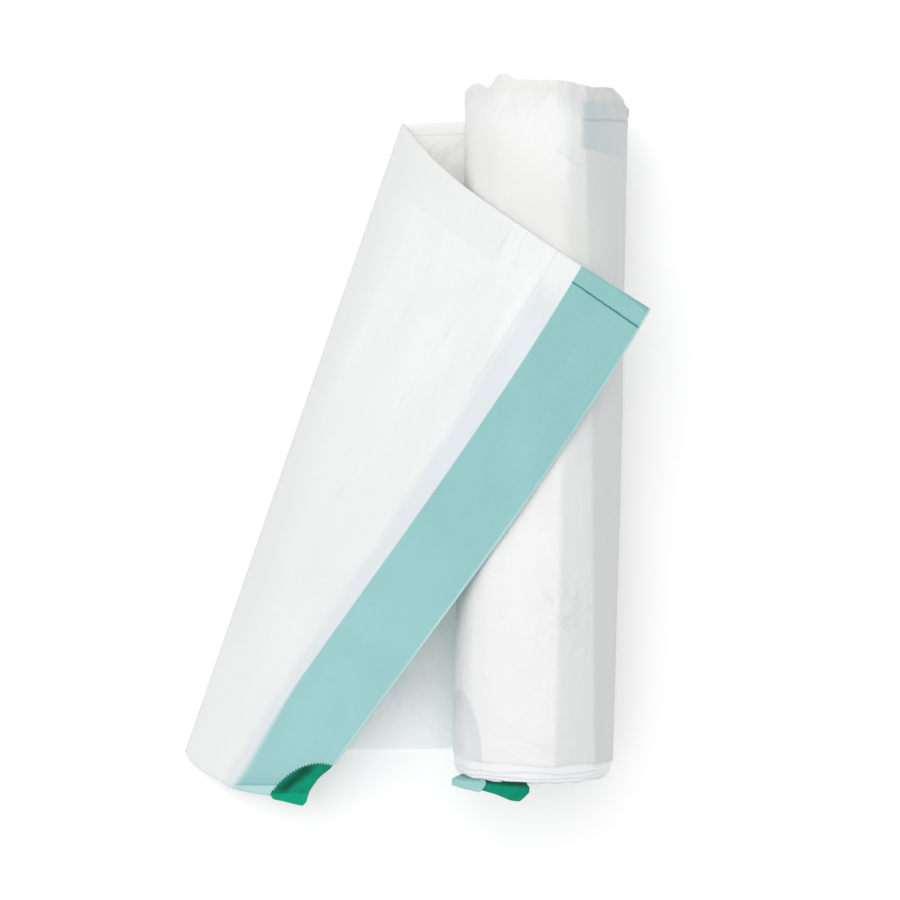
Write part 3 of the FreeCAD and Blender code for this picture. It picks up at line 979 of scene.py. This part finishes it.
def next_bag_hem():
    """The part of the next bag's hem that still lies over its tape."""
    foot = ((0, -158.6), (0.2, -159.5), (0.36, -160.0), (0.40, -158.9), (0.46, -155.8), (0.50, -149.0))
    return next_bag_strip("next_bag_hem", (-0.015, 0.50), foot, 0.35, hem_edge_material, 0.25)


pieces = {
    "outer": outer_turn(),
    "inner": inner_turns(),
    "flap": flap(),
    "leader": leader(),
    "crease": crease_roll(),
    "tape": hem_tape(),
    "next": next_bag_tape(),
    "next_hem": next_bag_hem(),
}
for piece in pieces.values():
    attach(piece, "root")
for key in ("outer", "inner", "next_hem"):
    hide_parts("wound_roll")
for key in ("flap", "leader", "crease"):
    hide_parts("loose_bag")
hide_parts("draw_tape")
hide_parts("next_tape")

# Floor, light and camera

FLOOR_REACH = 3.0
FLOOR_DROP = 0.0002
WORLD_LIGHT = 0.735
CAMERA_PLACE = (-0.04138, -0.00722, 0.88)
CAMERA_TURN = 1.0
FOCAL_PIXELS = 1842.0
FRAME_PIXELS = 900.0
SENSOR_MM = 36.0


def rays_that_show(tree):
    """1 for rays that show the background: from the camera, off gloss or through glass."""
    path = tree.nodes.new("ShaderNodeLightPath")
    shown = path.outputs["Is Camera Ray"]
    for name in ("Is Glossy Ray", "Is Transmission Ray"):
        either = tree.nodes.new("ShaderNodeMath")
        either.operation = "MAXIMUM"
        tree.links.new(shown, either.inputs[0])
        tree.links.new(path.outputs[name], either.inputs[1])
        shown = either.outputs[0]
    return shown


def floor():
    """A white floor that keeps the shadow. It glows only for rays that show the background."""
    mesh = bpy.data.meshes.new("floor")
    corners = [(x * FLOOR_REACH, y * FLOOR_REACH, 0) for x, y in ((-1, -1), (1, -1), (1, 1), (-1, 1))]
    mesh.from_pydata(corners, [], [(0, 1, 2, 3)])
    material = bpy.data.materials.new("floor")
    material.use_nodes = True
    nodes, links = material.node_tree.nodes, material.node_tree.links
    surface = nodes["Principled BSDF"]
    surface.inputs["Base Color"].default_value = (0.93, 0.93, 0.93, 1)
    surface.inputs["Roughness"].default_value = 0.9
    surface.inputs["Specular IOR Level"].default_value = 0.1
    glow = nodes.new("ShaderNodeEmission")
    glow.inputs["Color"].default_value = (1, 1, 1, 1)
    strength = nodes.new("ShaderNodeMath")
    strength.operation = "MULTIPLY"
    links.new(rays_that_show(material.node_tree), strength.inputs[0])
    place = nodes.new("ShaderNodeTexCoord")
    distance = nodes.new("ShaderNodeVectorMath")
    distance.operation = "LENGTH"
    links.new(place.outputs["Object"], distance.inputs[0])
    away = nodes.new("ShaderNodeMapRange")          # more glow far from the lamp, where the floor is darker
    for entry, value in (("From Min", 0.5), ("From Max", 1.8), ("To Min", 0.20), ("To Max", 0.50)):
        away.inputs[entry].default_value = value
    links.new(distance.outputs["Value"], away.inputs["Value"])
    links.new(away.outputs["Result"], strength.inputs[1])
    links.new(strength.outputs[0], glow.inputs["Strength"])
    both = nodes.new("ShaderNodeAddShader")
    links.new(surface.outputs[0], both.inputs[0])
    links.new(glow.outputs[0], both.inputs[1])
    links.new(both.outputs[0], nodes["Material Output"].inputs["Surface"])
    mesh.materials.append(material)
    obj = bpy.data.objects.new("floor", mesh)
    bpy.context.scene.collection.objects.link(obj)
    obj.location.z = -FLOOR_DROP


def lamp(name, place, target, size, power):
    """A square lamp that faces its target."""
    data = bpy.data.lights.new(name, "AREA")
    data.shape = "SQUARE"
    data.size = size
    data.energy = power
    obj = bpy.data.objects.new(name, data)
    bpy.context.scene.collection.objects.link(obj)
    obj.location = place
    obj.rotation_euler = (Vector(target) - Vector(place)).to_track_quat("-Z", "Y").to_euler()


def even_world():
    """Even light from all sides, which shows as a white backdrop."""
    world = bpy.data.worlds.new("world")
    world.use_nodes = True
    nodes, links = world.node_tree.nodes, world.node_tree.links
    background = nodes["Background"]
    background.inputs["Color"].default_value = (1, 1, 1, 1)
    strength = nodes.new("ShaderNodeMapRange")
    strength.inputs["To Min"].default_value = WORLD_LIGHT
    strength.inputs["To Max"].default_value = 1.0
    links.new(rays_that_show(world.node_tree), strength.inputs["Value"])
    links.new(strength.outputs["Result"], background.inputs["Strength"])
    bpy.context.scene.world = world


def camera():
    """Straight above the roll, turned a little as in the photo."""
    data = bpy.data.cameras.new("camera")
    data.sensor_width = SENSOR_MM
    data.lens = SENSOR_MM * FOCAL_PIXELS / FRAME_PIXELS
    obj = bpy.data.objects.new("camera", data)
    obj.location = CAMERA_PLACE
    obj.rotation_euler = (0, 0, math.radians(CAMERA_TURN))
    bpy.context.scene.collection.objects.link(obj)
    bpy.context.scene.camera = obj


floor()
lamp("key", place=(-0.45, 0.42, 1.5), target=(0, 0, 0), size=1.55, power=8.6)
even_world()
camera()
bpy.context.scene.view_settings.view_transform = "Standard"
